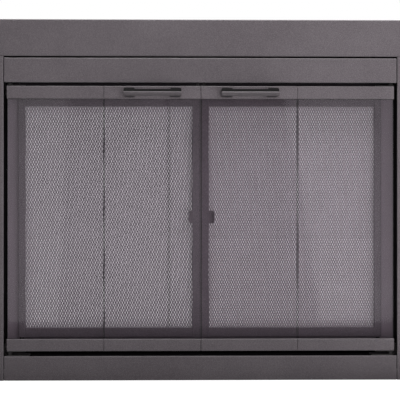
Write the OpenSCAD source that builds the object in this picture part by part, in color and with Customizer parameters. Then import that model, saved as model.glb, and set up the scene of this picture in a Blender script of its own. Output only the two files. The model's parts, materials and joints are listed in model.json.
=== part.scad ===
/* [Overall size] */
// Width across both stiles
frame_w = 952.5; // [900:0.5:1010]
// Height from the hearth to the top of the lintel
frame_h = 762; // [740:1:800]
// Depth from the front faces to the back of the rear flanges
frame_d = 64; // [62:1:76]

/* [Surround] */
// Width of the front face of each stile
stile_w = 60.25; // [50:0.25:75]
// Height of the front face of the lintel
lintel_h = 77.6; // [60:0.1:85]
// Height of the front face of the header panel
header_h = 51.6; // [45:0.2:60]
// Height of the front face of the bottom rail
sill_h = 51.5; // [40:0.5:60]
// Width of the stop flange that turns in behind the screens
stop_w = 30; // [24:1:32]
// Thickness of the frame's sheet steel
sheet_t = 1.2; // [1:0.1:1.5]
// Inside radius of each bend
bend_r = 1.2; // [0.8:0.1:1.5]

/* [Glass doors] */
// Clearance between a stile and the first glass panel
door_side_gap = 7; // [6:0.5:9]
// Clearance above the glass panels
door_top_gap = 8; // [6.6:0.1:9]
// Clearance below the glass panels
door_bottom_gap = 10.5; // [9.5:0.5:14]
// Gap at the middle of the opening, between the two pairs
centre_gap = 1.4; // [1:0.1:4]
// Gap between the two panels of one pair
seam_gap = 1; // [1:0.1:3]
// Height of a panel's top rail
top_rail_h = 27.1; // [22:0.1:32]
// Height of a panel's bottom rail
bottom_rail_h = 25.5; // [22:0.5:32]
// Depth of the panel rails
door_d = 16; // [15:0.5:18]
// Thickness of the glass
glass_t = 5; // [4:0.5:5]
// Bevel ground along the upright edges of the glass
glass_bevel = 1; // [0.5:0.1:1.5]

/* [Handles] */
// Length of a handle's bar
handle_l = 121; // [100:1:140]
// How far a handle stands in front of the frame
handle_reach = 44; // [34:1:50]
// Height of the bar's section
bar_h = 9.2; // [8:0.2:12]

/* [Mesh screens] */
// Distance from the front faces to the front of the screens
screen_setback = 48; // [44:1:50]
// Depth of the screens' square tube
screen_d = 10; // [8:0.5:10]
// Width of the upright tubes
screen_stile_w = 15.2; // [12:0.2:18]
// Height of the level tubes
screen_rail_h = 20.3; // [14:0.1:24]
// Width of one diamond of the net
net_pitch_x = 40; // [38:1:60]
// Height of one diamond of the net
net_pitch_z = 78; // [76:1:110]
// Width of a strand of the net
net_strand = 2.6; // [2:0.1:4]

/* [Masonry brackets] */
// Distance from the middle to the centre of a bracket
bracket_x = 300; // [220:5:340]
// Width of a bracket
bracket_w = 36; // [30:1:44]
// How far a bracket reaches behind the frame
bracket_reach = 44; // [34:1:60]
// Height of the upper brackets' level leg
bracket_top_z = 703; // [696:1:720]

/* [Hidden] */
$fn = 48;
bend_steps = 4;
cut = 1; // how far a cut runs past the face it opens
left = -1;
right = 1;

// Colours
gunmetal = [0.36, 0.34, 0.355];
screen_grey = [0.30, 0.285, 0.30];
net_grey = [0.34, 0.325, 0.34];
glass_grey = [0.45, 0.45, 0.48, 0.4];
zinc = [0.66, 0.67, 0.69];
blackened = [0.10, 0.10, 0.105];
black = [0.06, 0.06, 0.065];
nylon = [0.10, 0.10, 0.105];

// Depths are counted from the front faces; the origin lies midway between handle fronts and bracket ends
reach_back = frame_d + bracket_reach;
front_y = (handle_reach - reach_back) / 2;

// Surround
half_w = frame_w / 2;
inner_x = half_w - stile_w;
stop_x = inner_x - stop_w;
lintel_z = frame_h - lintel_h;
lintel_gap = 3.4;
lintel_lip = 52;
lintel_hem = 10;
lintel_flange = 28;
stile_flange = 24;
header_top = lintel_z - lintel_gap;
header_bottom = header_top - header_h;
header_stop_z = header_bottom - 30;
panel_end_gap = 1.5;
panel_x = inner_x - panel_end_gap;
notch_gap = 0.1;
sill_stop_z = sill_h + 41;
sill_foot = 30;
sill_hem = 10;

// Corner plates and clips
corner_t = 2;
corner_leg = 74;
corner_drop = 118;
corner_inset = 2.4;
clip_leg = 26;
clip_w = 30;
clip_y = 25;
clip_drop = 30;
screw_r = 2;
screw_hole_r = 2.1;
screw_head_r = 3.6;
screw_head_t = 2;
screw_l = 7;

// Overhead track
track_w = 17.6;
track_h = 12;
track_slot = 8;

// Glass panels
door_x = inner_x - door_side_gap;
door_top = header_bottom - door_top_gap;
door_bottom = sill_h + door_bottom_gap;
lead_x = centre_gap / 2;
seam_x = (door_x + lead_x) / 2;
outer_x0 = seam_x + seam_gap / 2;
inner_x1 = seam_x - seam_gap / 2;
glass_y = door_d / 2;
glass_inset = 0.1;
glass_grip = 5.5;
rail_lip = 4.1;
seal_gap = 0.1;
seal_t = 1.5;
seal_lip = 0.3;

// Pivots
pivot_inset = 6;
pivot_x = door_x - pivot_inset;
pivot_y = 10;
pivot_r = 3;
pivot_bore_r = 3.05;
plate_t = 2;
plate_l = 38;
plate_w = 12;
collar_r = 5.25;
socket_l = 22;
socket_gap = 0.6;
top_pin_end = header_bottom + 9;
floor_plate_t = 2.5;
floor_plate_y = 2;
plate_x0 = inner_x - 55;
floor_ear_y = 20;
floor_ear_w = 24;
floor_ear_rim = 8;
floor_screw_y = floor_ear_y + floor_ear_w / 2;
floor_screw_z = sill_h + 16;
floor_boss_r = 5.25;
floor_boss_h = 5.7;
pin_rise = 0.3;
collar_gap = 0.1;

// Guide shoe, as far from the seam as the pivot is
guide_x = 2 * seam_x - pivot_x;
guide_pin_r = 2.5;
guide_r = 5.6;
guide_bottom = header_bottom + 2.6;
guide_h = 6.4;
guide_plate_l = 30;

// Seam hinges
knuckle_r = 2.4;
hinge_pin_r = 1.25;
hinge_bore_r = 1.3;
knuckle_gap = 0.2;
hinge_y = door_d + knuckle_r + knuckle_gap;
leaf_t = 1.2;
leaf_h = 16;
leaf_w = 24;
leaf_clear = 2.85;
leaf_split = 0.2;
leaf_band = 4;
hinge_head_t = 1;

// Handles
handle_x = (lead_x + inner_x1) / 2;
bar_d = 9;
bar_bevel = 2.5;
bar_z = door_top - 22.6;
bar_groove = 0.8;
bar_groove_x = 12;
spine_d = 4;
spine_h = 14.6;
foot_w = 23;
foot_z = bar_z - 0.2;
foot_h = 17;
foot_corner = 3;
handle_screw_l = 14;
handle_screw_z = bar_z + 8;

// Mesh screens
screen_top = header_bottom - 28.5;
screen_bottom = sill_h + 36.5;
screen_x = inner_x - 27.4;
meeting_x = 2.75;
meeting_gap = 0.4;
astragal = 4.2;
tube_t = 1.2;
tube_r = 1;
net_t = 1.2;
net_overlap = 6;
net_edge = 3;
screen_axis_x = screen_x - screen_stile_w / 2;
screen_axis_y = screen_setback + screen_d / 2;
screen_pin_r = 2.5;
screen_bore_r = 2.55;
plug_h = 10;
plug_gap = 0.1;
shoulder_r = 4.5;
shoulder_gap = 0.2;
screen_pin_l = 5;
tab_t = 2;
tab_w = 14;
tab_gap = 3.5;
tab_gap_top = 2;
tab_over = 10;
tab_leg = 24;

// Pull tabs of the screens
pull_w = 26.8;
pull_h = 27;
pull_t = 1.5;
pull_lip = 8;
pull_chamfer = 3;
pull_z = 344;

// Magnetic catches
magnet_x = 10;
magnet_w = 30;
magnet_h = 15.5;
magnet_gap = 0.3;
magnet_rise = 1;

// Masonry brackets
bracket_t = 3;
bracket_bend = 1.5;
anchor_r = 3.5;
anchor_y = frame_d + 26;
bolt_r = 2.5;
bolt_hole_r = 2.75;
nut_bore_r = 2.6;
hex_r = 4.6;
bolt_head_t = 3.5;
nut_t = 4;
bolt_end = 1;
upper_leg = 67;
upper_bolt_z = [bracket_top_z - 35, bracket_top_z - 53];
lower_bolt_z = sill_h + 13;
lower_bolt_dx = 10;
lower_leg_top = sill_h + 22;

// ---------- Folded sheet: the outline of a bent strip, worked out from its fold lines ----------

function unit(v) = v / norm(v);
function left_of(v) = [-v[1], v[0]];
function cross2(a, b) = a[0] * b[1] - a[1] * b[0];
function spin(v, a) = [v[0] * cos(a) - v[1] * sin(a), v[0] * sin(a) + v[1] * cos(a)];

// Round the corner at p, between the directions a and b, with radius r
function corner_arc(p, a, b, r) =
    let (side = sign(cross2(a, b)))
    let (angle = acos(a * b))
    let (hub = p - a * r * tan(angle / 2) + left_of(a) * side * r)
    [for (i = [0 : bend_steps]) hub + spin(-left_of(a) * side * r, side * angle * i / bend_steps)];

// Round every inner corner of a path: r_left where it turns left, r_right where it turns right
function rounded(path, r_left, r_right) =
    let (last = len(path) - 1)
    [
        path[0],
        for (i = [1 : last - 1])
            let (a = unit(path[i] - path[i - 1]))
            let (b = unit(path[i + 1] - path[i]))
            each corner_arc(path[i], a, b, cross2(a, b) > 0 ? r_left : r_right),
        path[last]
    ];

// The same path moved to its left by t
function shifted(path, t) =
    let (last = len(path) - 1)
    [
        path[0] + left_of(unit(path[1] - path[0])) * t,
        for (i = [1 : last - 1])
            let (a = left_of(unit(path[i] - path[i - 1])))
            let (b = left_of(unit(path[i + 1] - path[i])))
            path[i] + (a + b) * t / (1 + a * b),
        path[last] + left_of(unit(path[last] - path[last - 1])) * t
    ];

function backwards(list) = [for (i = [len(list) - 1 : -1 : 0]) list[i]];

// Section of a sheet of thickness t that lies to the left of its path, with inside bend radius r
module sheet_section(path, t, r) {
    face = rounded(path, r + t, r);
    back = rounded(shifted(path, t), r, r + t);
    polygon(concat(face, backwards(back)));
}

// Rectangle with round corners, from its low corner
module round_rect(size, r) {
    corners = [[0, 0], [size[0], 0], [size[0], size[1]], [0, size[1]]];
    turns = [[0, -1], [1, 0], [0, 1], [-1, 0]];
    polygon([for (i = [0 : 3]) each corner_arc(corners[i], turns[i], turns[(i + 1) % 4], r)]);
}

// ---------- Directions ----------

// A section drawn in depth and height, run along the width from x0 to x1
module along_x(x0, x1) {
    translate([x0, 0, 0]) rotate([90, 0, 90]) linear_extrude(x1 - x0) children();
}

// An outline drawn in width and height, run along the depth from y0 to y1
module along_y(y0, y1) {
    translate([0, y1, 0]) rotate([90, 0, 0]) linear_extrude(y1 - y0) children();
}

module along_z(z0, z1) {
    translate([0, 0, z0]) linear_extrude(z1 - z0) children();
}

module block(low, high) {
    translate(low) cube(high - low);
}

module rod_x(x0, x1, y, z, r) {
    translate([x0, y, z]) rotate([0, 90, 0]) cylinder(r = r, h = x1 - x0);
}

module rod_y(x, y0, y1, z, r) {
    translate([x, y0, z]) rotate([-90, 0, 0]) cylinder(r = r, h = y1 - y0);
}

module rod_z(x, y, z0, z1, r) {
    translate([x, y, z0]) cylinder(r = r, h = z1 - z0);
}

// Everything is drawn with the front faces at y = 0, and set back or forward here
module in_place() {
    translate([0, front_y, 0]) children();
}

// The right-hand half is drawn, and the left-hand one is its mirror image
module on_side(side) {
    in_place() mirror([side == left ? 1 : 0, 0, 0]) children();
}

module both_sides() {
    on_side(left) children();
    on_side(right) children();
}

// ---------- Surround ----------

lintel_path = [
    [frame_d, frame_h - lintel_flange], [frame_d, frame_h], [0, frame_h],
    [0, lintel_z], [lintel_lip, lintel_z], [lintel_lip, lintel_z + lintel_hem]
];

stile_path = [
    [stop_x, frame_d - sheet_t], [inner_x, frame_d - sheet_t], [inner_x, 0],
    [half_w, 0], [half_w, frame_d], [half_w - stile_flange, frame_d]
];

header_path = [
    [frame_d, header_stop_z], [frame_d, header_top], [0, header_top], [0, header_bottom]
];

sill_path = [
    [frame_d - sheet_t, sill_stop_z], [frame_d - sheet_t, sill_h], [0, sill_h],
    [0, 0], [sill_foot, 0], [sill_foot, sill_hem]
];

module lintel_panel() {
    color(gunmetal) in_place() {
        along_x(-half_w, half_w) sheet_section(lintel_path, sheet_t, bend_r);
        for (x = [-half_w, half_w - sheet_t])
            block([x, sheet_t, lintel_z + sheet_t], [x + sheet_t, frame_d - sheet_t, frame_h - sheet_t]);
    }
}

module stile(side) {
    color(gunmetal) on_side(side) difference() {
        along_z(0, lintel_z) sheet_section(stile_path, sheet_t, bend_r);
        clip_screw_holes();
        screen_screw_holes();
        floor_screw_holes();
    }
}

// Cuts the back of a panel that runs between the stiles, so that it clears their stop flanges
module stop_notches(z0, z1) {
    for (x = [-inner_x, stop_x - notch_gap])
        block([x, frame_d - sheet_t - notch_gap, z0], [x + stop_w + notch_gap, frame_d + notch_gap, z1]);
}

module header_panel() {
    color(gunmetal) in_place() difference() {
        along_x(-panel_x, panel_x) sheet_section(header_path, sheet_t, bend_r);
        stop_notches(header_stop_z - notch_gap, header_top + notch_gap);
        bracket_bolt_holes();
    }
}

module bottom_rail() {
    color(gunmetal) in_place() difference() {
        along_x(-panel_x, panel_x) sheet_section(sill_path, sheet_t, bend_r);
        stop_notches(sill_h - sheet_t - bend_r - notch_gap, sill_stop_z + notch_gap);
        bracket_bolt_holes();
    }
}

module overhead_track() {
    low_y = pivot_y - track_w / 2;
    path = [
        [pivot_y + track_slot / 2, header_bottom], [low_y + track_w, header_bottom],
        [low_y + track_w, header_bottom + track_h], [low_y, header_bottom + track_h],
        [low_y, header_bottom], [pivot_y - track_slot / 2, header_bottom]
    ];
    color(zinc) in_place() along_x(-panel_x, panel_x) sheet_section(path, sheet_t, bend_r / 2);
}

// ---------- Corner plates, clips and screws ----------

module corner_plates() {
    x1 = half_w - corner_inset;
    z1 = frame_h - 2 * corner_inset;
    arm_x = stile_flange - 2 * corner_inset;
    arm_z = lintel_flange - 3 * corner_inset;
    color(zinc) both_sides()
        along_y(frame_d - sheet_t - corner_t, frame_d - sheet_t) polygon([
            [x1, z1 - corner_drop], [x1, z1], [x1 - corner_leg, z1], [x1 - corner_leg, z1 - arm_z],
            [x1 - arm_x, z1 - arm_z], [x1 - arm_x, z1 - corner_drop]
        ]);
}

// Heights of the undersides that the end clips hold: the header's top and the sill
clip_z = [header_top - sheet_t, sill_h - sheet_t];

module clip(z) {
    path = [[inner_x, z - clip_drop], [inner_x, z], [inner_x - clip_leg, z]];
    along_y(clip_y, clip_y + clip_w) sheet_section(path, sheet_t, bend_r);
}

module clip_screw_holes() {
    for (z = clip_z)
        screw_hole_x(2 * sheet_t, clip_y + clip_w / 2, z - clip_drop / 2);
}

module end_clips() {
    color(zinc) both_sides() difference() {
        for (z = clip_z) clip(z);
        clip_screw_holes();
    }
}

// Hole along the width, through the stile's inner wall and what lies within reach of it
module screw_hole_x(reach, y, z) {
    rod_x(inner_x - reach, inner_x + reach, y, z, screw_hole_r);
}

// Pan-head screw along the width, its head against a face at x
module side_screw(x, y, z) {
    rod_x(x - screw_head_t, x, y, z, screw_head_r);
    rod_x(x, x + screw_l, y, z, screw_r);
}

module frame_screws() {
    color(blackened) both_sides() {
        for (z = clip_z) side_screw(inner_x - sheet_t, clip_y + clip_w / 2, z - clip_drop / 2);
        for (z = tab_screw_z) side_screw(inner_x - tab_t, screen_axis_y, z);
        side_screw(inner_x - floor_plate_t, floor_screw_y, floor_screw_z);
    }
}

// ---------- Masonry brackets ----------

module masonry_bracket(path) {
    half = bracket_w / 2;
    along_x(bracket_x - half, bracket_x + half) sheet_section(path, bracket_t, bracket_bend);
}

module anchor_hole(z) {
    rod_z(bracket_x, anchor_y, z - bracket_t, z + 2 * bracket_t, anchor_r);
}

module upper_masonry_brackets() {
    path = [
        [reach_back, bracket_top_z], [frame_d, bracket_top_z], [frame_d, bracket_top_z - upper_leg]
    ];
    color(zinc) both_sides() difference() {
        masonry_bracket(path);
        anchor_hole(bracket_top_z - bracket_t);
        bolt_holes_one_side();
    }
}

module lower_masonry_brackets() {
    path = [[frame_d, lower_leg_top], [frame_d, 0], [reach_back, 0]];
    color(zinc) both_sides() difference() {
        masonry_bracket(path);
        anchor_hole(0);
        bolt_holes_one_side();
    }
}

// Where the bracket bolts pass, on one side
bolt_spots = [
    for (z = upper_bolt_z) [bracket_x, z],
    for (dx = [-lower_bolt_dx, lower_bolt_dx]) [bracket_x + dx, lower_bolt_z]
];

module bolt_holes_one_side() {
    for (spot = bolt_spots)
        rod_y(spot[0], frame_d - 2 * sheet_t, frame_d + 2 * bracket_t, spot[1], bolt_hole_r);
}

module bracket_bolt_holes() {
    for (side = [0, 1]) mirror([side, 0, 0]) bolt_holes_one_side();
}

module bracket_bolts() {
    head_y = frame_d + bracket_t;
    color(zinc) both_sides() for (spot = bolt_spots) {
        rod_y(spot[0], frame_d - sheet_t - nut_t - bolt_end, head_y, spot[1], bolt_r);
        translate([spot[0], head_y, spot[1]]) rotate([-90, 0, 0])
            cylinder(r = hex_r, h = bolt_head_t, $fn = 6);
    }
}

module bracket_nuts() {
    color(zinc) both_sides() for (spot = bolt_spots)
        translate([spot[0], frame_d - sheet_t, spot[1]]) rotate([90, 0, 0]) difference() {
            cylinder(r = hex_r, h = nut_t, $fn = 6);
            translate([0, 0, -cut]) cylinder(r = nut_bore_r, h = nut_t + 2 * cut);
        }
}

// ---------- Pivots in the frame ----------

module top_pivot_sockets() {
    low_y = pivot_y - track_w / 2 + sheet_t + socket_gap;
    high_y = pivot_y + track_w / 2 - sheet_t - socket_gap;
    low_z = header_bottom + sheet_t;
    high_z = header_bottom + track_h - sheet_t - socket_gap;
    color(nylon) both_sides() difference() {
        block([pivot_x - socket_l / 2, low_y, low_z], [pivot_x + socket_l / 2, high_y, high_z]);
        rod_z(pivot_x, pivot_y, low_z - cut, top_pin_end + pin_rise, pivot_bore_r);
    }
}

// Plate on the sill with a bored boss under the pivot pin, and an ear screwed to the stile behind the door
module floor_pivot_brackets() {
    path = [[plate_x0, sill_h], [inner_x, sill_h], [inner_x, floor_screw_z + floor_ear_rim]];
    plate_x1 = pivot_x + floor_boss_r;
    color(blackened) both_sides() difference() {
        union() {
            block([plate_x0, floor_plate_y, sill_h], [plate_x1, floor_ear_y, sill_h + floor_plate_t]);
            along_y(floor_ear_y, floor_ear_y + floor_ear_w) sheet_section(path, floor_plate_t, bend_r);
            rod_z(pivot_x, pivot_y, sill_h, sill_h + floor_boss_h, floor_boss_r);
        }
        rod_z(pivot_x, pivot_y, sill_h - cut, sill_h + floor_boss_h + cut, pivot_bore_r);
        floor_screw_holes();
    }
}

module floor_screw_holes() {
    screw_hole_x(2 * floor_plate_t, floor_screw_y, floor_screw_z);
}

// Washers that carry and centre the pins, one above each boss and one under the track
module pivot_collars() {
    low = [sill_h + floor_boss_h, door_top + plate_t + collar_gap];
    high = [door_bottom - plate_t - collar_gap, header_bottom];
    color(nylon) both_sides() for (i = [0, 1]) difference() {
        rod_z(pivot_x, pivot_y, low[i], high[i], collar_r);
        rod_z(pivot_x, pivot_y, low[i] - cut, high[i] + cut, pivot_bore_r);
    }
}

// ---------- Screen hardware in the frame ----------

top_tab_z = screen_top + tab_gap_top;
low_tab_z = screen_bottom - tab_gap;
tab_screw_z = [top_tab_z + tab_leg - tab_over, low_tab_z - tab_leg + tab_over];

module screen_screw_holes() {
    for (z = tab_screw_z)
        screw_hole_x(2 * tab_t, screen_axis_y, z);
}

// Angle brackets above and below each screen, with a hole for its hinge pin
module screen_hinge_brackets() {
    x0 = screen_axis_x - tab_over;
    paths = [
        [[x0, top_tab_z], [inner_x, top_tab_z], [inner_x, top_tab_z + tab_leg]],
        [[inner_x, low_tab_z - tab_leg], [inner_x, low_tab_z], [x0, low_tab_z]]
    ];
    color(blackened) both_sides() difference() {
        for (path = paths)
            along_y(screen_axis_y - tab_w / 2, screen_axis_y + tab_w / 2) sheet_section(path, tab_t, bend_r);
        rod_z(screen_axis_x, screen_axis_y, low_tab_z - 2 * tab_t, top_tab_z + 2 * tab_t, screen_bore_r);
        screen_screw_holes();
    }
}

// Catches on the header's stop flange, one behind the top rail of each screen
module screen_magnets() {
    y0 = screen_setback + screen_d + magnet_gap;
    z0 = screen_top - net_overlap + magnet_rise;
    color(black) both_sides()
        block([magnet_x, y0, z0], [magnet_x + magnet_w, frame_d - sheet_t, z0 + magnet_h]);
}

// ---------- Glass panels ----------

// Folded channel that grips the glass; its mouth is at z0 or, where mouth_up is true, at z1
module glass_rail(x0, x1, z0, z1, mouth_up) {
    mouth_z = mouth_up ? z1 : z0;
    back_z = mouth_up ? z0 : z1;
    lips = [door_d - rail_lip, rail_lip];
    path = [
        [lips[0], mouth_z], [door_d, mouth_z], [door_d, back_z],
        [0, back_z], [0, mouth_z], [lips[1], mouth_z]
    ];
    along_x(x0, x1) sheet_section(mouth_up ? backwards(path) : path, sheet_t, bend_r / 2);
}

module top_glass_rail(x0, x1) {
    glass_rail(x0, x1, door_top - top_rail_h, door_top, false);
}

module bottom_glass_rail(x0, x1) {
    glass_rail(x0, x1, door_bottom, door_bottom + bottom_rail_h, true);
}

// Sheet of glass, with a small bevel ground along each upright edge
module pane(x0, x1) {
    size = [x1 - x0 - 2 * glass_inset, glass_t];
    translate([x0 + glass_inset, glass_y - glass_t / 2, 0])
        along_z(door_bottom + glass_grip, door_top - glass_grip) polygon([
            [glass_bevel, 0], [size[0] - glass_bevel, 0], [size[0], glass_bevel],
            [size[0], size[1] - glass_bevel], [size[0] - glass_bevel, size[1]],
            [glass_bevel, size[1]], [0, size[1] - glass_bevel], [0, glass_bevel]
        ]);
}

// Soft strips round the top and bottom edges of the glass, inside the rails
module pane_seals(x0, x1) {
    y0 = rail_lip + seal_gap;
    y1 = door_d - rail_lip - seal_gap;
    spans = [
        [door_bottom + glass_grip - seal_t, door_bottom + bottom_rail_h + seal_lip],
        [door_top - top_rail_h - seal_lip, door_top - glass_grip + seal_t]
    ];
    difference() {
        for (span = spans)
            block([x0 + glass_inset, y0, span[0]], [x1 - glass_inset, y1, span[1]]);
        block([x0, glass_y - glass_t / 2, door_bottom + glass_grip],
            [x1, glass_y + glass_t / 2, door_top - glass_grip]);
    }
}

module outer_top_rail(side) {
    color(gunmetal) on_side(side) top_glass_rail(outer_x0, door_x);
}

module outer_bottom_rail(side) {
    color(gunmetal) on_side(side) bottom_glass_rail(outer_x0, door_x);
}

module outer_glass(side) {
    color(glass_grey) on_side(side) pane(outer_x0, door_x);
}

module outer_glass_seals(side) {
    color(black) on_side(side) pane_seals(outer_x0, door_x);
}

module inner_top_rail(side) {
    color(gunmetal) on_side(side) difference() {
        top_glass_rail(lead_x, inner_x1);
        handle_screw_holes();
    }
}

module inner_bottom_rail(side) {
    color(gunmetal) on_side(side) bottom_glass_rail(lead_x, inner_x1);
}

module inner_glass(side) {
    color(glass_grey) on_side(side) pane(lead_x, inner_x1);
}

module inner_glass_seals(side) {
    color(black) on_side(side) pane_seals(lead_x, inner_x1);
}

// ---------- Pivot pins and guides of the panels ----------

// Plates above and below the outer panel, each with a pin
module pivot_pins(side) {
    y0 = door_d - plate_w;
    color(blackened) on_side(side) {
        block([door_x - plate_l, y0, door_top], [door_x, door_d, door_top + plate_t]);
        rod_z(pivot_x, pivot_y, door_top + plate_t, top_pin_end, pivot_r);
        block([door_x - plate_l, y0, door_bottom - plate_t], [door_x, door_d, door_bottom]);
        rod_z(pivot_x, pivot_y, sill_h + pin_rise, door_bottom - plate_t, pivot_r);
    }
}

module guide_pin(side) {
    color(blackened) on_side(side) {
        block([lead_x, door_d - plate_w, door_top], [lead_x + guide_plate_l, door_d, door_top + plate_t]);
        rod_z(guide_x, pivot_y, door_top + plate_t, guide_bottom + guide_h, guide_pin_r);
    }
}

module guide_shoe(side) {
    color(nylon) on_side(side) difference() {
        rod_z(guide_x, pivot_y, guide_bottom, guide_bottom + guide_h, guide_r);
        rod_z(guide_x, pivot_y, guide_bottom - cut, guide_bottom + guide_h + cut, guide_pin_r);
    }
}

// ---------- Seam hinges ----------

// Low ends of the two hinges of a pair, on the bottom rails and on the top rails
leaf_z = [
    door_bottom + (bottom_rail_h - leaf_h) / 2,
    door_top - (top_rail_h + leaf_h) / 2
];

// One half of a hinge: its leaf on the side that dir points to, and its knuckles in the bands given
module hinge_half(z, dir, bands) {
    far_x = seam_x + dir * leaf_w;
    near_x = seam_x + dir * leaf_clear;
    block([min(near_x, far_x), door_d, z], [max(near_x, far_x), door_d + leaf_t, z + leaf_h]);
    for (band = bands) difference() {
        union() {
            block([min(near_x, seam_x), door_d + knuckle_gap, z + band[0]],
                [max(near_x, seam_x), door_d + leaf_t, z + band[1]]);
            rod_z(seam_x, hinge_y, z + band[0], z + band[1], knuckle_r);
        }
        rod_z(seam_x, hinge_y, z - cut, z + leaf_h + cut, hinge_bore_r);
    }
}

module outer_hinge_leaves(side) {
    bands = [[0, leaf_band], [leaf_h - leaf_band, leaf_h]];
    color(blackened) on_side(side) for (z = leaf_z) hinge_half(z, 1, bands);
}

module inner_hinge_leaves(side) {
    bands = [[leaf_band + leaf_split, leaf_h - leaf_band - leaf_split]];
    color(blackened) on_side(side) for (z = leaf_z) hinge_half(z, -1, bands);
}

module hinge_pins(side) {
    color(blackened) on_side(side) for (z = leaf_z) {
        rod_z(seam_x, hinge_y, z, z + leaf_h, hinge_pin_r);
        rod_z(seam_x, hinge_y, z + leaf_h, z + leaf_h + hinge_head_t, knuckle_r);
    }
}

// ---------- Handles ----------

// Bar with its top and bottom front edges bevelled, and a fine groove near each end
module handle_bar(side) {
    z1 = bar_z + bar_h;
    y0 = -handle_reach;
    y1 = bar_d - handle_reach;
    section = [
        [y1, bar_z], [y0 + bar_bevel, bar_z], [y0, bar_z + bar_bevel],
        [y0, z1 - bar_bevel], [y0 + bar_bevel, z1], [y1, z1]
    ];
    color(gunmetal) on_side(side) difference() {
        along_x(handle_x - handle_l / 2, handle_x + handle_l / 2) polygon(section);
        for (dir = [-1, 1]) handle_groove(handle_x + dir * (handle_l / 2 - bar_groove_x), section);
    }
}

module handle_groove(x, section) {
    along_x(x - bar_groove / 2, x + bar_groove / 2) difference() {
        translate([-handle_reach - cut, bar_z - cut]) square([bar_d, bar_h + 2 * cut]);
        translate([bar_groove, 0]) intersection() {
            polygon(section);
            translate([-handle_reach, bar_z + bar_groove]) square([bar_d, bar_h - 2 * bar_groove]);
        }
    }
}

// Front outline of a foot: round above, and cut off below at the outer end, which is at x = dir * foot_w
module foot_outline(dir) {
    corners = [[0, 0], [foot_w - foot_corner, 0], [foot_w, foot_corner], [foot_w, foot_h], [0, foot_h]];
    outline = [
        corners[0], corners[1], corners[2],
        each corner_arc(corners[3], [0, 1], [-1, 0], foot_corner),
        each corner_arc(corners[4], [-1, 0], [0, -1], foot_corner / 3)
    ];
    polygon([for (p = outline) [dir * p[0], p[1]]]);
}

// Black base behind the bar: a spine along it and a foot at each end, screwed to the rail
module handle_base(side) {
    spine_y = bar_d - handle_reach;
    low = [handle_x - handle_l / 2, spine_y, bar_z];
    color(black) on_side(side) difference() {
        union() {
            block(low, low + [handle_l, spine_d, spine_h]);
            for (dir = [-1, 1])
                translate([handle_x + dir * (handle_l / 2 - foot_w), 0, foot_z])
                    along_y(spine_y, 0) foot_outline(dir);
        }
        handle_screw_holes();
    }
}

handle_screw_x = [for (dir = [-1, 1]) handle_x + dir * (handle_l - foot_w) / 2];

module handle_screw_holes() {
    for (x = handle_screw_x) rod_y(x, -handle_screw_l - cut, sheet_t + cut, handle_screw_z, screw_hole_r);
}

// Screws put in from inside the rail
module handle_screws(side) {
    color(zinc) on_side(side) for (x = handle_screw_x) {
        rod_y(x, -handle_screw_l, sheet_t, handle_screw_z, screw_r);
        rod_y(x, sheet_t, sheet_t + screw_head_t, handle_screw_z, screw_head_r);
    }
}

// ---------- Mesh screens ----------

// The left screen's upright laps past the middle, so the two meet a little to the right of it
function meeting_edge(side) = side == right ? meeting_x + meeting_gap / 2 : meeting_gap / 2 - meeting_x;
function meeting_w(side) = side == left ? screen_stile_w + astragal : screen_stile_w;
function window_x0(side) = meeting_edge(side) + meeting_w(side);
window_x1 = screen_x - screen_stile_w;

module tube_section(w, h) {
    difference() {
        round_rect([w, h], tube_r);
        translate([tube_t, tube_t]) square([w - 2 * tube_t, h - 2 * tube_t]);
    }
}

module upright_tube(x0, w) {
    translate([x0, screen_setback, 0]) along_z(screen_bottom, screen_top) tube_section(w, screen_d);
}

module level_tube(x0, x1, z) {
    translate([0, screen_setback, z]) along_x(x0, x1) tube_section(screen_d, screen_rail_h);
}

module screen_frame(side) {
    color(screen_grey) on_side(side) {
        upright_tube(meeting_edge(side), meeting_w(side));
        upright_tube(window_x1, screen_stile_w);
        level_tube(window_x0(side), window_x1, screen_bottom);
        level_tube(window_x0(side), window_x1, screen_top - screen_rail_h);
    }
}

// Flat net of staggered diamonds, fixed to the backs of the tubes
module screen_net(side) {
    low = [meeting_edge(side) + net_overlap, screen_bottom + net_overlap];
    high = [screen_x - net_overlap, screen_top - net_overlap];
    view_low = [window_x0(side) - net_edge, screen_bottom + screen_rail_h - net_edge];
    view_high = [window_x1 + net_edge, screen_top - screen_rail_h + net_edge];
    middle = (view_low + view_high) / 2;
    half = [net_pitch_x, net_pitch_z] / 2;
    shrink = 1 - net_strand / 2 * norm([1 / half[0], 1 / half[1]]);
    reach = [for (i = [0, 1]) ceil((view_high[i] - view_low[i]) / (4 * half[i])) + 1];
    y0 = screen_setback + screen_d;
    color(net_grey) on_side(side) along_y(y0, y0 + net_t) difference() {
        translate(low) square(high - low);
        intersection() {
            translate(view_low) square(view_high - view_low);
            for (i = [-reach[0] : reach[0]], j = [-reach[1] : reach[1]], odd = [0, 1])
                translate(middle + [(2 * i + odd) * half[0], (2 * j + odd) * half[1]])
                    polygon(shrink * [[half[0], 0], [0, half[1]], [-half[0], 0], [0, -half[1]]]);
        }
    }
}

// Finger pull on the front of the meeting tube: a plate with its free edge turned forward
module screen_pull(side) {
    x0 = meeting_edge(side);
    x1 = x0 + pull_w;
    y1 = screen_setback - pull_t;
    path = [[x0, y1], [x1 - pull_t, y1], [x1 - pull_t, y1 + pull_t - pull_lip]];
    z0 = pull_z - pull_h / 2;
    z1 = pull_z + pull_h / 2;
    color(screen_grey) on_side(side) intersection() {
        along_z(z0, z1) sheet_section(path, pull_t, bend_r);
        along_y(0, screen_setback) polygon([
            [x0, z0], [x1 - pull_chamfer, z0], [x1, z0 + pull_chamfer],
            [x1, z1 - pull_chamfer], [x1 - pull_chamfer, z1], [x0, z1]
        ]);
    }
}

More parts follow.
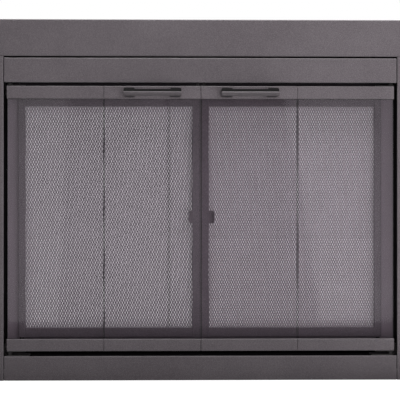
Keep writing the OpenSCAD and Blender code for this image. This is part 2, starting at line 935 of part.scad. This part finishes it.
// Plugs in the ends of the outer tube, each with a shoulder and a pin
module screen_hinge_pins(side) {
    plug = [screen_stile_w, screen_d] / 2 - [tube_t + plug_gap, tube_t + plug_gap];
    ends = [[screen_top, 1, tab_gap_top - shoulder_gap], [screen_bottom, -1, tab_gap]];
    color(blackened) on_side(side) for (end = ends) {
        z = end[0];
        out = end[1];
        inside = z - out * plug_h;
        shoulder = z + out * end[2];
        tip = shoulder + out * screen_pin_l;
        block([screen_axis_x - plug[0], screen_axis_y - plug[1], min(z, inside)],
            [screen_axis_x + plug[0], screen_axis_y + plug[1], max(z, inside)]);
        rod_z(screen_axis_x, screen_axis_y, min(z, shoulder), max(z, shoulder), shoulder_r);
        rod_z(screen_axis_x, screen_axis_y, min(z, tip), max(z, tip), screen_pin_r);
    }
}

lintel_panel();
header_panel();
bottom_rail();
overhead_track();
corner_plates();
end_clips();
frame_screws();
upper_masonry_brackets();
lower_masonry_brackets();
bracket_bolts();
bracket_nuts();
top_pivot_sockets();
floor_pivot_brackets();
pivot_collars();
screen_hinge_brackets();
screen_magnets();
stile(left);  // left_stile
stile(right);  // right_stile
outer_top_rail(left);  // left_outer_top_rail
outer_bottom_rail(left);  // left_outer_bottom_rail
outer_glass(left);  // left_outer_glass
outer_glass_seals(left);  // left_outer_glass_seals
pivot_pins(left);  // left_pivot_pins
outer_hinge_leaves(left);  // left_outer_hinge_leaves
hinge_pins(left);  // left_hinge_pins
inner_top_rail(left);  // left_inner_top_rail
inner_bottom_rail(left);  // left_inner_bottom_rail
inner_glass(left);  // left_inner_glass
inner_glass_seals(left);  // left_inner_glass_seals
inner_hinge_leaves(left);  // left_inner_hinge_leaves
guide_pin(left);  // left_guide_pin
guide_shoe(left);  // left_guide_shoe
handle_bar(left);  // left_handle_bar
handle_base(left);  // left_handle_base
handle_screws(left);  // left_handle_screws
screen_frame(left);  // left_screen_frame
screen_net(left);  // left_screen_net
screen_pull(left);  // left_screen_pull
screen_hinge_pins(left);  // left_screen_hinge_pins
outer_top_rail(right);  // right_outer_top_rail
outer_bottom_rail(right);  // right_outer_bottom_rail
outer_glass(right);  // right_outer_glass
outer_glass_seals(right);  // right_outer_glass_seals
pivot_pins(right);  // right_pivot_pins
outer_hinge_leaves(right);  // right_outer_hinge_leaves
hinge_pins(right);  // right_hinge_pins
inner_top_rail(right);  // right_inner_top_rail
inner_bottom_rail(right);  // right_inner_bottom_rail
inner_glass(right);  // right_inner_glass
inner_glass_seals(right);  // right_inner_glass_seals
inner_hinge_leaves(right);  // right_inner_hinge_leaves
guide_pin(right);  // right_guide_pin
guide_shoe(right);  // right_guide_shoe
handle_bar(right);  // right_handle_bar
handle_base(right);  // right_handle_base
handle_screws(right);  // right_handle_screws
screen_frame(right);  // right_screen_frame
screen_net(right);  // right_screen_net
screen_pull(right);  // right_screen_pull
screen_hinge_pins(right);  // right_screen_hinge_pins
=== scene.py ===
"""Looks of a fireplace glass door: folding glass panels and mesh screens in a painted steel surround."""

import json
import math

import bpy
from mathutils import Euler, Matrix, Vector


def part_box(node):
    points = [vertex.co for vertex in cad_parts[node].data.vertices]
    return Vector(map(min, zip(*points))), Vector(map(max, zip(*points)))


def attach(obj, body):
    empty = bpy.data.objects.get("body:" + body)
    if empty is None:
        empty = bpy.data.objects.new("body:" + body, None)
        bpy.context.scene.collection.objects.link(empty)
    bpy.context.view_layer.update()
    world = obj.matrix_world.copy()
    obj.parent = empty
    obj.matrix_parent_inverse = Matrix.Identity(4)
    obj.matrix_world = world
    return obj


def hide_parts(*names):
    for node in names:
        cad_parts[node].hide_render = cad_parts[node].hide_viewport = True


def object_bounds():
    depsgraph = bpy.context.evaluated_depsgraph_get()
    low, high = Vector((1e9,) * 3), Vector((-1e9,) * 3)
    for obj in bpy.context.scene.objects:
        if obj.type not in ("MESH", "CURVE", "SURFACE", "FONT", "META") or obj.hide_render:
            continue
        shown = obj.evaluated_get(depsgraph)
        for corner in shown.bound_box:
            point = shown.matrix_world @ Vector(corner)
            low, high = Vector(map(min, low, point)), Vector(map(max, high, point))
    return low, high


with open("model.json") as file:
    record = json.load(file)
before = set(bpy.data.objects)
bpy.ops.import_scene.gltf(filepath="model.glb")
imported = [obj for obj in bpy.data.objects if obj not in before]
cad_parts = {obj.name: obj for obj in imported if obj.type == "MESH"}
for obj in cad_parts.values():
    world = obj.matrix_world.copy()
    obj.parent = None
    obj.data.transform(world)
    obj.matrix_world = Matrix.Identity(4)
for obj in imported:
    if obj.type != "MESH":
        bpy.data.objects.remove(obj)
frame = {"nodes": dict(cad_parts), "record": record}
cad_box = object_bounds()
nodes = frame["nodes"]

# ---------- Places read from the frame ----------

MM = 0.001
SIDES = ("left", "right")
HEIGHT = cad_box[1].z
FRONT_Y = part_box("lintel_panel")[0].y
HEADER_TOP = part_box("header_panel")[1].z
SILL_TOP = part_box("floor_pivot_brackets")[0].z

# The recess behind the surround's front, in which the doors and the screens stand.
RECESS_FRONT = FRONT_Y + 3 * MM
RECESS_BACK = FRONT_Y + 63 * MM
RECESS_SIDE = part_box("right_outer_glass")[1].x + 9 * MM
RECESS_TOP = HEADER_TOP + 5 * MM
RECESS_BOTTOM = SILL_TOP - 28 * MM

# The recess is painted black to the left of, below and above these places: painted shade for its dark
# gaps.
SHADE_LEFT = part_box("left_outer_glass")[0].x - 3.1 * MM
SHADE_BELOW = SILL_TOP + 28 * MM
SHADE_ABOVE = HEADER_TOP - 66 * MM

# ---------- Node helpers ----------


class Nodes:
    """Short calls that add nodes to the node tree of a material or of the world."""

    def __init__(self, tree):
        self.tree = tree

    def node(self, kind, settings=None, **inputs):
        """Adds a node. settings are its properties. Inputs go by name, or by number as i0, i1 and on."""
        n = self.tree.nodes.new("ShaderNode" + kind)
        for key, value in (settings or {}).items():
            setattr(n, key, value)
        for key, value in inputs.items():
            numbered = key[0] == "i" and key[1:].isdigit()
            self.put(n.inputs[int(key[1:]) if numbered else key.replace("_", " ")], value)
        return n

    def put(self, socket, value):
        """Links another socket to this one, or sets a plain value on it."""
        if isinstance(value, bpy.types.NodeSocket):
            self.tree.links.new(value, socket)
        else:
            socket.default_value = value

    def place(self, scale=(1, 1, 1)):
        """The point in the object's own frame, stretched by scale."""
        coord = self.node("TexCoord")
        return self.node("Mapping", Vector=coord.outputs["Object"], Scale=scale).outputs[0]

    def axes(self, vector):
        """The x, y and z of a vector."""
        return self.node("SeparateXYZ", Vector=vector).outputs

    def noise(self, where, scale, detail=2.0, roughness=0.5):
        n = self.node("TexNoise", Vector=where, Scale=scale, Detail=detail, Roughness=roughness)
        return n.outputs["Fac"]

    def math(self, operation, a, b=0.0):
        return self.node("Math", {"operation": operation}, i0=a, i1=b).outputs[0]

    def chain(self, operation, values):
        """One value from many. Of masks, MULTIPLY keeps what all cover, and MAXIMUM what any covers."""
        total = values[0]
        for value in values[1:]:
            total = self.math(operation, total, value)
        return total

    def span(self, value, from_low, from_high, to_low, to_high):
        """value moved from one range to another, and kept inside it."""
        n = self.node("MapRange", Value=value)
        ends = {"From Min": from_low, "From Max": from_high, "To Min": to_low, "To Max": to_high}
        for key, number in ends.items():
            n.inputs[key].default_value = number
        return n.outputs[0]

    def mix(self, factor, a, b):
        """The colour a where factor is 0, and b where it is 1."""
        n = self.node("Mix", {"data_type": "RGBA"})
        for i, value in ((0, factor), (6, a), (7, b)):
            self.put(n.inputs[i], value)
        return n.outputs[2]

    def bump(self, height, distance, strength=1.0, normal=None):
        n = self.node("Bump", Height=height, Distance=distance, Strength=strength)
        if normal is not None:
            self.put(n.inputs["Normal"], normal)
        return n.outputs[0]

    def facing_front(self):
        """1 where the surface faces the front or the back, and 0 where it faces up, down or sideways."""
        return self.math("ABSOLUTE", self.axes(self.node("TexCoord").outputs["Normal"])["Y"])

    def seen(self):
        """1 for rays from the camera and from glass and metal, and 0 for those that only carry light."""
        rays = self.node("LightPath")
        kinds = ("Is Camera Ray", "Is Glossy Ray", "Is Transmission Ray")
        return self.chain("MAXIMUM", [rays.outputs[kind] for kind in kinds])


class Shader(Nodes):
    """A material with one Principled shader."""

    def __init__(self, name, **values):
        self.mat = bpy.data.materials.new(name)
        self.mat.use_nodes = True
        super().__init__(self.mat.node_tree)
        self.bsdf = self.tree.nodes["Principled BSDF"]
        self.out = self.tree.nodes["Material Output"]
        for key, value in values.items():
            self.set(key.replace("_", " "), value)

    def set(self, name, value):
        """Gives an input of the shader a plain value or another socket."""
        self.put(self.bsdf.inputs[name], value)


def linear(level):
    """The linear value of a screen level from 0 to 255."""
    share = level / 255
    return ((share + 0.055) / 1.055) ** 2.4 if level > 10 else share / 12.92


def tone(red, green, blue):
    """A colour from its screen levels."""
    return (linear(red), linear(green), linear(blue), 1.0)


def grey(value):
    """A grey from its linear value, which is also a plain number for a mix."""
    return (value, value, value, 1.0)


WHITE = grey(1.0)

# ---------- Painted steel ----------

# Specular level of the coat on flat sheet, and on the bends, where it is smoother.
COAT_SHINE = 0.18
BEND_SHINE = 0.6
# Its grain's waves to the metre, and its roughness.
COAT_GRAIN = 650.0
COAT_ROUGHNESS = 0.5

GREY_DARK = tone(85, 79, 83)
GREY_LIGHT = tone(94, 88, 92)
SPECK = tone(116, 110, 114)
# Painted light: a paler coat for the stop flanges in the recess, as if more light reached them.
STOP_PAINTED_LIGHT = tone(160, 149, 158)
# Painted shade in the recess: near black, and a less deep shade at the top.
INSIDE_SHADE = tone(8, 7, 8)
TOP_SHADE = tone(42, 39, 42)


def coat_shine(s):
    """The specular level of the coat: a bend is what faces neither straight ahead nor straight aside."""
    front = s.facing_front()
    off_front = s.span(front, 0.80, 0.95, 1.0, 0.0)
    off_side = s.span(front, 0.05, 0.25, 0.0, 1.0)
    return s.span(s.math("MULTIPLY", off_front, off_side), 0.0, 1.0, COAT_SHINE, BEND_SHINE)


def powder_coat(name, dark, light, speck):
    """Fine-speckled powder coat with a faint mottle. Returns the shader, its colour and its shine."""
    s = Shader(name, Specular_IOR_Level=COAT_SHINE)
    at = s.place()
    mottle = s.noise(at, 10.0, 3.0, 0.6)
    coarse = s.noise(at, COAT_GRAIN, 1.0, 0.6)
    fine = s.noise(at, COAT_GRAIN * 2.6, 1.0)
    base = s.mix(s.span(mottle, 0.3, 0.7, 0.0, 1.0), dark, light)
    pit = tuple(c * 0.5 for c in dark[:3]) + (1.0,)
    colour = s.mix(s.span(coarse, 0.30, 0.50, 0.45, 0.0), base, pit)
    colour = s.mix(s.span(coarse, 0.50, 0.74, 0.0, 0.6), colour, speck)
    colour = s.mix(s.span(fine, 0.52, 0.7, 0.0, 0.3), colour, speck)
    s.set("Base Color", colour)
    s.set("Roughness", s.span(fine, 0.3, 0.7, COAT_ROUGHNESS - 0.08, COAT_ROUGHNESS + 0.08))
    s.set("Normal", s.bump(coarse, 0.00006, 0.5, s.bump(fine, 0.00003, 0.5)))
    shine = coat_shine(s)
    s.set("Specular IOR Level", shine)
    return s, colour, shine


def surround_paint():
    """The surround's coat. In the recess it is paler on the stop flanges, which is painted light, and
    black on the rest, which is painted shade.
    """
    s, colour, shine = powder_coat("surround_paint", GREY_DARK, GREY_LIGHT, SPECK)
    x, y, z = s.axes(s.place())
    recess = s.chain("MULTIPLY", [
        s.math("GREATER_THAN", y, RECESS_FRONT),
        s.math("LESS_THAN", y, RECESS_BACK),
        s.math("LESS_THAN", s.math("ABSOLUTE", x), RECESS_SIDE),
        s.math("LESS_THAN", z, RECESS_TOP),
    ])
    # Where the recess gets painted shade, with a less deep shade at the top.
    top = s.math("GREATER_THAN", z, SHADE_ABOVE)
    dark = s.chain("MAXIMUM", [
        top,
        s.math("LESS_THAN", z, SHADE_BELOW),
        s.math("LESS_THAN", x, SHADE_LEFT),
        s.math("LESS_THAN", s.facing_front(), 0.5),
    ])
    black = s.chain("MULTIPLY", [recess, dark, s.math("GREATER_THAN", z, RECESS_BOTTOM)])
    # Painted light on the stop flanges: the coat goes halfway to the paler one.
    coat = s.mix(recess, colour, s.mix(0.5, colour, STOP_PAINTED_LIGHT))
    s.set("Base Color", s.mix(black, coat, s.mix(top, INSIDE_SHADE, TOP_SHADE)))
    s.set("Roughness", s.span(black, 0.0, 1.0, COAT_ROUGHNESS, 0.9))
    s.set("Specular IOR Level", s.math("MULTIPLY", shine, s.span(black, 0.0, 1.0, 1.0, 0.1)))
    return s.mat


def screen_paint():
    """The coat of the screens' frames and pulls, a little darker than the surround's."""
    return powder_coat("screen_paint", tone(84, 78, 83), tone(90, 84, 89), tone(104, 98, 103))[0].mat


def rail_paint():
    """The coat of the glass panels' rails."""
    return powder_coat("rail_paint", GREY_DARK, GREY_LIGHT, SPECK)[0].mat


# The middle of the soft dark upright line that the photo shows on the left net, and half its width.
DARK_LINE_X = -67 * MM
DARK_LINE_REACH = 6 * MM


def net_paint():
    """The nets' grey paint, with the dark line in it."""
    s = Shader("net_paint", Roughness=0.55, Specular_IOR_Level=0.3)
    at = s.place()
    colour = s.mix(s.noise(at, 30.0, 3.0), tone(110, 105, 110), tone(124, 118.5, 124))
    aside = s.math("ABSOLUTE", s.math("SUBTRACT", s.axes(at)["X"], DARK_LINE_X))
    line = s.span(aside, 0.5 * MM, DARK_LINE_REACH, 0.7, 0.0)
    s.set("Base Color", s.mix(line, colour, tone(74, 71, 74)))
    s.set("Normal", s.bump(s.noise(at, 1500.0, 1.0), 0.00003, 0.4))
    return s.mat


def handle_paint():
    """The handle bars' coat, smoother than the surround's, with a fine pale speckle."""
    s = Shader("handle_paint", Specular_IOR_Level=0.12)
    at = s.place()
    fine = s.noise(at, 1100.0, 1.0)
    cloud = s.noise(at, 40.0, 2.0)
    base = s.mix(cloud, tone(71, 67, 70), tone(83, 78, 81))
    s.set("Base Color", s.mix(s.span(fine, 0.5, 0.7, 0.0, 0.4), base, tone(104, 99, 102)))
    s.set("Roughness", s.span(cloud, 0.3, 0.7, 0.45, 0.55))
    s.set("Normal", s.bump(fine, 0.00002, 0.4))
    return s.mat


# ---------- Plastics, bare metal and glass ----------


def black_moulding():
    """Satin black plastic of the handles' bases and the magnetic catches."""
    s = Shader("black_moulding", Specular_IOR_Level=0.25)
    at = s.place()
    cloud = s.noise(at, 60.0, 3.0)
    s.set("Base Color", s.mix(cloud, tone(11, 10, 11), tone(18, 17, 18)))
    s.set("Roughness", s.span(cloud, 0.3, 0.7, 0.44, 0.58))
    s.set("Normal", s.bump(s.noise(at, 1800.0, 1.0), 0.00002, 0.5))
    return s.mat


def seal_rubber():
    """Dull black rubber of the glazing strips."""
    s = Shader("seal_rubber", Roughness=0.75)
    at = s.place()
    s.set("Base Color", s.mix(s.noise(at, 90.0, 3.0), tone(18, 17, 18), tone(34, 32, 33)))
    s.set("Normal", s.bump(s.noise(at, 900.0, 2.0), 0.00005, 0.5))
    return s.mat


def zinc():
    """Zinc-plated steel, with the faint cloudy colours of its passivation and a drawn grain."""
    s = Shader("zinc", Metallic=1.0)
    cloud = s.noise(s.place(), 55.0, 3.0, 0.6)
    grain = s.noise(s.place((1, 1, 0.06)), 1600.0, 2.0)
    plain = s.mix(s.span(cloud, 0.3, 0.7, 0.0, 1.0), tone(150, 152, 156), tone(178, 178, 176))
    s.set("Base Color", s.mix(s.span(grain, 0.45, 0.75, 0.0, 0.35), plain, tone(120, 122, 126)))
    s.set("Roughness", s.span(grain, 0.3, 0.7, 0.3, 0.46))
    s.set("Normal", s.bump(grain, 0.00002, 0.4))
    return s.mat


def blackened():
    """Black-plated steel: dark, with a dull metallic sheen and a few brighter scuffs."""
    s = Shader("blackened_steel", Metallic=0.6, Specular_IOR_Level=0.3)
    cloud = s.noise(s.place(), 70.0, 3.0, 0.6)
    scuff = s.noise(s.place((1, 1, 0.2)), 900.0, 2.0, 0.6)
    base = s.mix(cloud, tone(36, 34, 35), tone(58, 55, 56))
    s.set("Base Color", s.mix(s.span(scuff, 0.58, 0.74, 0.0, 0.5), base, tone(96, 93, 94)))
    s.set("Roughness", s.span(scuff, 0.3, 0.7, 0.36, 0.5))
    s.set("Normal", s.bump(scuff, 0.00002, 0.4))
    return s.mat


def nylon():
    """Black nylon of the pivot sockets, collars and guide shoes."""
    s = Shader("nylon", Roughness=0.5, Specular_IOR_Level=0.25)
    at = s.place()
    s.set("Base Color", s.mix(s.noise(at, 80.0, 2.0), tone(18, 17, 18), tone(30, 28, 30)))
    s.set("Normal", s.bump(s.noise(at, 1200.0, 1.0), 0.00002, 0.4))
    return s.mat


# How much of the shader the clear faces have: enough for the photo's mirror images and a little smoke.
GLASS_SHARE = 0.064
GLASS_TINT = (0.99, 0.97, 0.99, 1.0)
# Far over that of bare glass, for the mirror image of a coated pane.
GLASS_IOR = 3.0


def smoked_glass():
    """Very lightly smoked tempered glass: clear through its faces, dark and frosted on its edges."""
    s = Shader("smoked_glass", IOR=GLASS_IOR)
    at = s.place()
    haze = s.span(s.noise(at, 3.0, 3.0), 0.35, 0.75, 0.0, 1.0)
    edge = s.math("LESS_THAN", s.facing_front(), 0.9)
    frosted = s.mix(s.noise(at, 700.0, 2.0), tone(22, 22, 22), tone(40, 41, 41))
    s.set("Base Color", s.mix(edge, tone(20, 19, 21), frosted))
    s.set("Roughness", s.mix(edge, s.span(haze, 0.0, 1.0, 0.02, 0.05), grey(0.6)))
    s.set("Specular IOR Level", s.span(edge, 0.0, 1.0, 0.5, 0.02))
    share = s.mix(edge, s.span(haze, 0.0, 1.0, GLASS_SHARE, GLASS_SHARE + 0.004), grey(0.95))
    clear = s.node("BsdfTransparent", Color=GLASS_TINT)
    both = s.node("MixShader", i0=share, i1=clear.outputs[0], i2=s.bsdf.outputs[0])
    s.put(s.out.inputs["Surface"], both.outputs[0])
    return s.mat


# ---------- Finishes of the CAD nodes ----------

materials = {
    "surround": surround_paint(),
    "rail": rail_paint(),
    "screen": screen_paint(),
    "net_paint": net_paint(),
    "handle_paint": handle_paint(),
    "handle_black": black_moulding(),
    "seal_rubber": seal_rubber(),
    "zinc_steel": zinc(),
    "blackened_steel": blackened(),
    "nylon": nylon(),
    "magnet": black_moulding(),
    "smoked_glass": smoked_glass(),
}


def finish_of(node, slot):
    """The material of a CAD node. The surround, the rails and the screens share one slot in the record."""
    if slot != "gunmetal_paint":
        return materials[slot]
    if node.endswith(("screen_frame", "screen_pull")):
        return materials["screen"]
    if node.endswith(("_top_rail", "_bottom_rail")):
        return materials["rail"]
    return materials["surround"]


for part in frame["record"]["subparts"]:
    for slot in nodes[part["node"]].material_slots:
        slot.material = finish_of(part["node"], part["material_slot"])

# ---------- Nets ----------

# The width and height of a net's diamonds. Each net stretches a little differently.
NET_PITCH = {"left": (5.55 * MM, 10.8 * MM), "right": (5.1 * MM, 10.75 * MM)}
# How far the columns lean aside over a metre up, and the rows rise over a metre across.
NET_LEAN = {"left": 0.0217, "right": -0.010}
NET_RISE = {"left": 0.0068, "right": 0.0}
# The open share of a diamond's width and height, kept small so that the net is as dark as in the photo.
NET_OPEN = {"left": (0.162, 0.75), "right": (0.175, 0.65)}
# Within these distances of its upright and level rims a net has this share of its openings' width,
# which grows to the whole over the next NET_FADE. The narrower openings darken the net towards its rims:
# painted shade for the frame's shadow there.
NET_RIM_X = 6 * MM
NET_RIM_Z = 14 * MM
NET_RIM_SHARE = 0.6
NET_FADE = 18 * MM
NET_MARGIN = 0.6 * MM
NET_THICK = 0.8 * MM
NET_TWIST = 0.2 * MM
# Columns and rows beyond the rims, so that a leaning net still fills its corners.
NET_SPARE = 4
# The ends of a crossing, as steps across and up.
TIPS = {"left": (-1, 0), "right": (1, 0), "down": (0, -1), "up": (0, 1)}


def add_mesh(name, points, faces, material, body):
    """A piece of the visual model that rides on a body and has the given material."""
    mesh = bpy.data.meshes.new(name)
    mesh.from_pydata(points, [], faces)
    mesh.validate()
    mesh.materials.append(material)
    piece = bpy.data.objects.new(name, mesh)
    bpy.context.scene.collection.objects.link(piece)
    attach(piece, body)
    return piece


def thicken(front, faces, thickness):
    """The points and faces of a closed sheet. faces run counter-clockwise as seen from the front."""
    count = len(front)
    back = [(x, y + thickness, z) for x, y, z in front]
    whole = [tuple(f) for f in faces] + [tuple(i + count for i in reversed(f)) for f in faces]
    edges = {(f[i], f[(i + 1) % len(f)]) for f in faces for i in range(len(f))}
    rims = [(a, b) for a, b in sorted(edges) if (b, a) not in edges]
    whole += [(b, a, a + count, b + count) for a, b in rims]
    return front + back, whole


def build_net(side):
    """Expanded-metal net: staggered diamonds whose strands twist a little, cut off behind the tubes."""
    low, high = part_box(f"{side}_screen_net")
    middle = (low + high) / 2
    half_wide, half_high = (pitch / 2 for pitch in NET_PITCH[side])
    open_wide, open_high = NET_OPEN[side]
    reach_x = (high.x - low.x) / 2 - NET_MARGIN
    reach_z = (high.z - low.z) / 2 - NET_MARGIN
    columns = math.ceil(reach_x / half_wide) + NET_SPARE
    rows = math.ceil(reach_z / half_high) + NET_SPARE
    points = []
    numbers = {}

    def tip(i, j, way):
        """The number of the point where the crossing (i, j) ends towards way."""
        key = (i, j, way)
        if key not in numbers:
            step_x, step_z = TIPS[way]
            to_side = reach_x - NET_RIM_X - abs(i * half_wide)
            to_end = reach_z - NET_RIM_Z - abs(j * half_high)
            room = min(max(min(to_side, to_end) / NET_FADE, 0.0), 1.0)
            gap = open_wide * (NET_RIM_SHARE + (1 - NET_RIM_SHARE) * room)
            across = (i + step_x * (1 - gap)) * half_wide
            up = (j + step_z * (1 - open_high)) * half_high
            x = across - NET_LEAN[side] * up
            z = up + NET_RISE[side] * across
            numbers[key] = len(points)
            points.append((middle.x + x, low.y + NET_TWIST - step_z * NET_TWIST, middle.z + z))
        return numbers[key]

    def inside(face):
        """Whether a face lies wholly within the net's reach."""
        ends = [points[p] for p in face]
        return all(abs(x - middle.x) < reach_x and abs(z - middle.z) < reach_z for x, y, z in ends)

    faces = []
    for i in range(-columns, columns + 1):
        for j in range(-rows, rows + 1):
            if (i + j) % 2 == 0:
                continue
            faces.append(tuple(tip(i, j, way) for way in ("right", "up", "left", "down")))
            for step, here, there in ((1, "up", "down"), (-1, "down", "up")):
                start, beyond = (i, j), (i + 1, j + step)
                ends = ((start, "right"), (beyond, there), (beyond, "left"), (start, here))
                strand = [tip(*crossing, way) for crossing, way in ends]
                faces.append(tuple(strand[::step]))

    kept = [face for face in faces if inside(face)]
    used = sorted({p for face in kept for p in face})
    renumbered = {p: n for n, p in enumerate(used)}
    front = [points[p] for p in used]
    front_faces = [tuple(renumbered[p] for p in face) for face in kept]
    sheet, walls = thicken(front, front_faces, NET_THICK)
    paint = materials["net_paint"]
    piece = add_mesh(f"{side}_net_lattice", sheet, walls, paint, f"{side}_screen")
    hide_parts(f"{side}_screen_net")


for side in SIDES:
    build_net(side)

# ---------- Floor ----------

FLOOR_REACH = 14.0


def add_stage(name, points, faces, shader):
    """A piece of the studio, which isn't part of the object."""
    mesh = bpy.data.meshes.new(name)
    mesh.from_pydata(points, [], faces)
    mesh.materials.append(shader.mat)
    piece = bpy.data.objects.new(name, mesh)
    bpy.context.scene.collection.objects.link(piece)
    return piece


def add_floor():
    """A pale floor that looks white, and a little less so near the object, where it keeps the shadow."""
    s = Shader("floor", Roughness=0.9, Specular_IOR_Level=0.0, Emission_Color=WHITE)
    cloud = s.noise(s.place(), 6.0, 2.0)
    s.set("Base Color", s.mix(cloud, grey(0.24), grey(0.27)))
    away = s.node("VectorMath", {"operation": "LENGTH"}, i0=s.place()).outputs["Value"]
    s.set("Emission Strength", s.math("MULTIPLY", s.seen(), s.span(away, 1.0, 5.0, 0.86, 1.0)))
    corners = [(x * FLOOR_REACH, y * FLOOR_REACH, 0.0) for x, y in ((-1, -1), (1, -1), (1, 1), (-1, 1))]
    add_stage("floor", corners, [(0, 1, 2, 3)], s)


# ---------- What the glass mirrors ----------

# The photo's glass is paler on the right of a slanting edge, paler on the far left and darker low down.
# These stage pieces, far in front of the object and on its floor, give it the same edges to mirror.
CARDS_Y = -4.0
CARDS_LOW = -0.4
CARDS_TOP = 1.6
BOARD_LEFT = 0.11
WALL_BEHIND = 0.02
WALL_LEVEL = 0.4
CARPET_Z = 1 * MM


def mirrored_shader(name, level=0.0):
    """Dull dark cloth, or with a level the plain grey of a far wall."""
    s = Shader(name, Roughness=0.9, Specular_IOR_Level=0.0, Emission_Color=WHITE, Emission_Strength=level)
    s.set("Base Color", s.mix(s.noise(s.place(), 8.0, 2.0), grey(0.03), grey(0.05)))
    return s


def add_mirrored(name, points, faces, shader):
    """A stage piece for the glass to mirror. Nothing else sees it, and it casts no shadow."""
    card = add_stage(name, points, faces, shader)
    card.visible_camera = False
    card.visible_diffuse = False
    card.visible_shadow = False
    card.visible_transmission = False


def add_far_cards():
    """A dark board with a stand beside it and a dim wall behind them, all far in front."""
    stand = [(-0.032, CARDS_LOW), (-0.014, CARDS_LOW), (-0.014, CARDS_TOP), (-0.032, CARDS_TOP)]
    bowed_edge = [(0.66, CARDS_LOW), (0.628, -0.09), (0.594, 0.08), (0.577, 0.25), (0.552, 0.42),
                  (0.513, 0.59), (0.49, 0.71), (0.478, 0.8), (0.44, CARDS_TOP)]
    board = [(BOARD_LEFT, CARDS_LOW)] + bowed_edge + [(BOARD_LEFT, CARDS_TOP)]
    wall = [(-0.50, CARDS_LOW), (0.2, CARDS_LOW), (0.2, CARDS_TOP), (-0.42, CARDS_TOP)]
    points = [(x, CARDS_Y, z) for x, z in stand + board]
    faces = [tuple(range(len(stand))), tuple(range(len(stand), len(points)))]
    add_mirrored("flag", points, faces, mirrored_shader("flag"))
    points = [(x, CARDS_Y - WALL_BEHIND, z) for x, z in wall]
    add_mirrored("dim_wall", points, [tuple(range(len(wall)))], mirrored_shader("dim_wall", WALL_LEVEL))


def add_carpet():
    """A dark carpet from the object to the far cards, which grows as bright as the dim wall towards it."""
    s = mirrored_shader("carpet")
    x, y, _ = s.axes(s.place())
    fade = s.span(y, CARDS_Y, -1.4, WALL_LEVEL, 0.0)
    s.set("Emission Strength", s.math("MULTIPLY", fade, s.math("LESS_THAN", x, BOARD_LEFT)))
    half = 1.5
    near_y = -0.2
    narrow_y = -1.88
    outline = [(-half, near_y), (-half, narrow_y), (-0.389, narrow_y), (-0.49, CARDS_Y), (0.622, CARDS_Y),
               (0.54, -3.2), (0.422, narrow_y), (half, narrow_y), (half, near_y)]
    points = [(across, ahead, CARPET_Z) for across, ahead in outline]
    add_mirrored("carpet", points, [tuple(range(len(outline)))], s)


# ---------- Light ----------

# The world's strength as a light. As a backdrop it is white.
AMBIENT = 0.066
# The height of the lamps that stand for light off the floor, just clear of it.
GLOW_Z = 3 * MM


def light_world():
    """A white backdrop that lights the object only faintly, from all sides."""
    world = bpy.data.worlds.new("studio")
    bpy.context.scene.world = world
    world.use_nodes = True
    w = Nodes(world.node_tree)
    w.tree.nodes.clear()
    sky = w.node("Background", Color=WHITE, Strength=w.span(w.seen(), 0.0, 1.0, AMBIENT, 1.0))
    w.node("OutputWorld", Surface=sky.outputs[0])


def add_softbox(name, place, target, size, power, camera=True, mirrors=True):
    """A soft lamp at place that faces target. camera and mirrors say whether it shows itself in them."""
    data = bpy.data.lights.new(name, "AREA")
    data.shape = "RECTANGLE"
    data.size, data.size_y = size
    data.energy = power
    lamp = bpy.data.objects.new(name, data)
    bpy.context.scene.collection.objects.link(lamp)
    lamp.location = place
    lamp.rotation_euler = (Vector(target) - Vector(place)).to_track_quat("-Z", "Y").to_euler()
    lamp.visible_camera = camera
    lamp.visible_glossy = mirrors


def add_bounce(name, place, target, size, power):
    """A lamp that stands for light off the floor, the ceiling or a wall, and so shows nowhere itself."""
    add_softbox(name, place, target, size, power, camera=False, mirrors=False)


def add_floor_glow(name, x, y, size, power):
    """Light off the bright floor in front of the object, straight up from (x, y)."""
    add_bounce(name, (x, y, GLOW_Z), (x, y, 1.0), size, power)


# ---------- Camera ----------

# How far the camera is from the surround's front, how far it has gone round to the left in radians,
# and the width that it takes in at the surround's front.
DISTANCE = 3.9
YAW = 0.0296
VIEW_WIDTH = 0.8448
# How far the frame is shifted, as a part of its width: about one of the photo's pixels.
PHOTO_PIXELS = 400
SHIFT = (-0.98 / PHOTO_PIXELS, -0.1 / PHOTO_PIXELS)
SENSOR = 36.0


def add_camera():
    """A camera at half the object's height, which looks at the middle of the surround's front."""
    data = bpy.data.cameras.new("camera")
    camera = bpy.data.objects.new("camera", data)
    bpy.context.scene.collection.objects.link(camera)
    data.sensor_width = SENSOR
    data.lens = SENSOR * DISTANCE / VIEW_WIDTH
    data.shift_x, data.shift_y = SHIFT
    middle = Vector((0.0, FRONT_Y, HEIGHT / 2))
    camera.location = middle - DISTANCE * Vector((math.sin(YAW), math.cos(YAW), 0.0))
    camera.rotation_euler = Euler((math.pi / 2, 0.0, -YAW))
    bpy.context.scene.camera = camera


# ---------- The scene ----------

add_floor()
light_world()
add_softbox("top_softbox", (0.2, -0.2, 2.2), (0.1, 0.0, 0.3), (1.6, 0.3), 33.0)
add_bounce("near_top_softbox", (0.3, -0.3, 1.3), (0.1, 0.0, 0.4), (1.8, 0.2), 1.6)
add_bounce("right_softbox", (0.9, -0.6, 1.5), (0.2, 0.0, 0.5), (0.6, 0.4), 9.5)
add_bounce("front_softbox", (0.4, -4.2, 0.8), (0.0, 0.0, 0.4), (1.6, 1.6), 36.0)
add_floor_glow("floor_glow", 0.0, -1.342, (3.0, 2.4), 22.2)
add_floor_glow("right_floor_glow", 0.9, -1.142, (1.0, 2.0), 18.0)
add_softbox("rear_softbox", (-1.1, 2.2, 2.2), (0.0, 0.0, 0.4), (1.2, 1.2), 30.0, camera=False)
add_far_cards()
add_carpet()
add_camera()

bpy.context.scene.view_settings.view_transform = "Standard"
